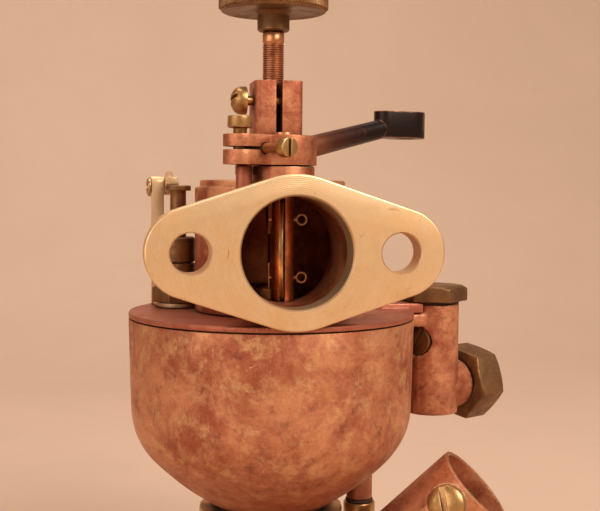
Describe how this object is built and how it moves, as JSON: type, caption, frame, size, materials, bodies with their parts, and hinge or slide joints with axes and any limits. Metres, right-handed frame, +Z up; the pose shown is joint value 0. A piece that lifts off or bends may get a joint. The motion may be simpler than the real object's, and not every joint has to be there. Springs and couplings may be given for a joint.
{
  "type": "carburetor",
  "caption": "Vintage updraft float carburetor in copper-plated brass with a two-bolt outlet flange, side air horn, knurled needle knob and throttle lever.",
  "frame": {"origin": "centre of the outlet bore on the flange face", "axes": "+Z up along the fuel needle, -Y out of the outlet, +X towards the fuel inlet"},
  "size_m": [0.1466, 0.1068, 0.2378],
  "materials": {
    "copper_plate": "worn copper plate over brass, blotchy, satin",
    "cover_copper": "pinkish worn copper plate, satin",
    "machined_face": "bright machined brass with lathe marks",
    "brass": "plain brass, handled",
    "aged_brass": "aged olive-brown brass",
    "spindle_copper": "copper-washed turned brass",
    "steel": "dull drawn steel",
    "cork": "varnished cork",
    "fibre": "dark compressed fibre"
  },
  "bodies": {
    "carburetor_body": {"mixing_chamber": "machined_face", "stop_pin": "copper_plate", "needle_post": "copper_plate", "post_pinch_screw": "brass", "bowl_cover": "cover_copper", "float_bowl": "copper_plate", "bowl_gasket": "fibre", "fuel_chamber_cap": "aged_brass", "cap_gasket": "fibre", "valve_seat": "brass", "channel_plug": "aged_brass", "inlet_fitting": "brass", "union_nut": "aged_brass", "float_pivot_pin": "steel", "venturi_tube": "brass", "spray_nozzle": "brass", "bowl_seal": "fibre", "clamp_ring": "brass", "drain_washer": "fibre", "drain_plug": "brass", "air_horn": "copper_plate", "tickler_body": "aged_brass", "tickler_sleeve": "brass", "tickler_bracket": "machined_face", "tickler_pivot_screw": "brass", "tickler_spring": "steel"},
    "throttle": {"throttle_shaft": "spindle_copper", "throttle_disc": "brass", "split_pin_upper": "brass", "split_pin_lower": "brass", "throttle_lever": "copper_plate", "lever_pinch_screw": "brass", "stop_screw": "brass"},
    "needle": {"needle_spindle": "spindle_copper"},
    "knob": {"knurled_knob": "aged_brass", "knob_screw": "brass"},
    "choke": {"choke_shaft": "brass", "choke_disc": "brass", "choke_screw_1": "brass", "choke_screw_2": "brass", "choke_lever": "brass", "choke_lever_nut": "brass"},
    "plunger": {"tickler_plunger": "spindle_copper"},
    "tickle_lever": {"tickler_lever": "brass"},
    "float_and_arm": {"float": "cork", "float_arm": "brass"},
    "float_valve": {"float_needle": "steel"}
  },
  "joints": [
    {"name": "needle_lift", "type": "slide", "parent": "carburetor_body", "child": "needle", "axis": [0, 0, 1], "range_m": [0, 0.00238]},
    {"name": "knob_turn", "type": "hinge", "parent": "needle", "child": "knob", "pos_m": [0, 0.0546, 0.0776], "axis": [0, 0, 1], "range_deg": [0, 1080]},
    {"name": "throttle_turn", "type": "hinge", "parent": "carburetor_body", "child": "throttle", "pos_m": [0, 0.0306, 0], "axis": [0, 0, 1], "range_deg": [-72, 0]},
    {"name": "choke_turn", "type": "hinge", "parent": "carburetor_body", "child": "choke", "pos_m": [0.06389, 0.02735, -0.09027], "axis": [-0.5416, -0.8211, 0.1804], "range_deg": [0, 75]},
    {"name": "tickler_press", "type": "slide", "parent": "carburetor_body", "child": "plunger", "axis": [0, 0, -1], "range_m": [0, 0.002], "stiffness_N_per_m": 400, "deforming": ["tickler_spring"]},
    {"name": "tickler_lever_turn", "type": "hinge", "parent": "carburetor_body", "child": "tickle_lever", "pos_m": [-0.0429, 0.0805, 0.0209], "axis": [1, 0, 0], "range_deg": [0, 10.5]},
    {"name": "float_drop", "type": "hinge", "parent": "carburetor_body", "child": "float_and_arm", "pos_m": [0.05149, 0.06184, -0.0274], "axis": [0.1392, -0.9903, 0], "range_deg": [0, 8]},
    {"name": "float_needle_lift", "type": "slide", "parent": "carburetor_body", "child": "float_valve", "axis": [0, 0, 1], "range_m": [0, 0.00176]}
  ],
  "couplings": [
    {"joint": "knob_turn", "follows": "needle_lift", "rad_per_m": 7913.3},
    {"joint": "tickler_lever_turn", "follows": "tickler_press", "rad_per_m": 91.63},
    {"joint": "float_needle_lift", "follows": "float_drop", "m_per_rad": 0.0126}
  ]
}
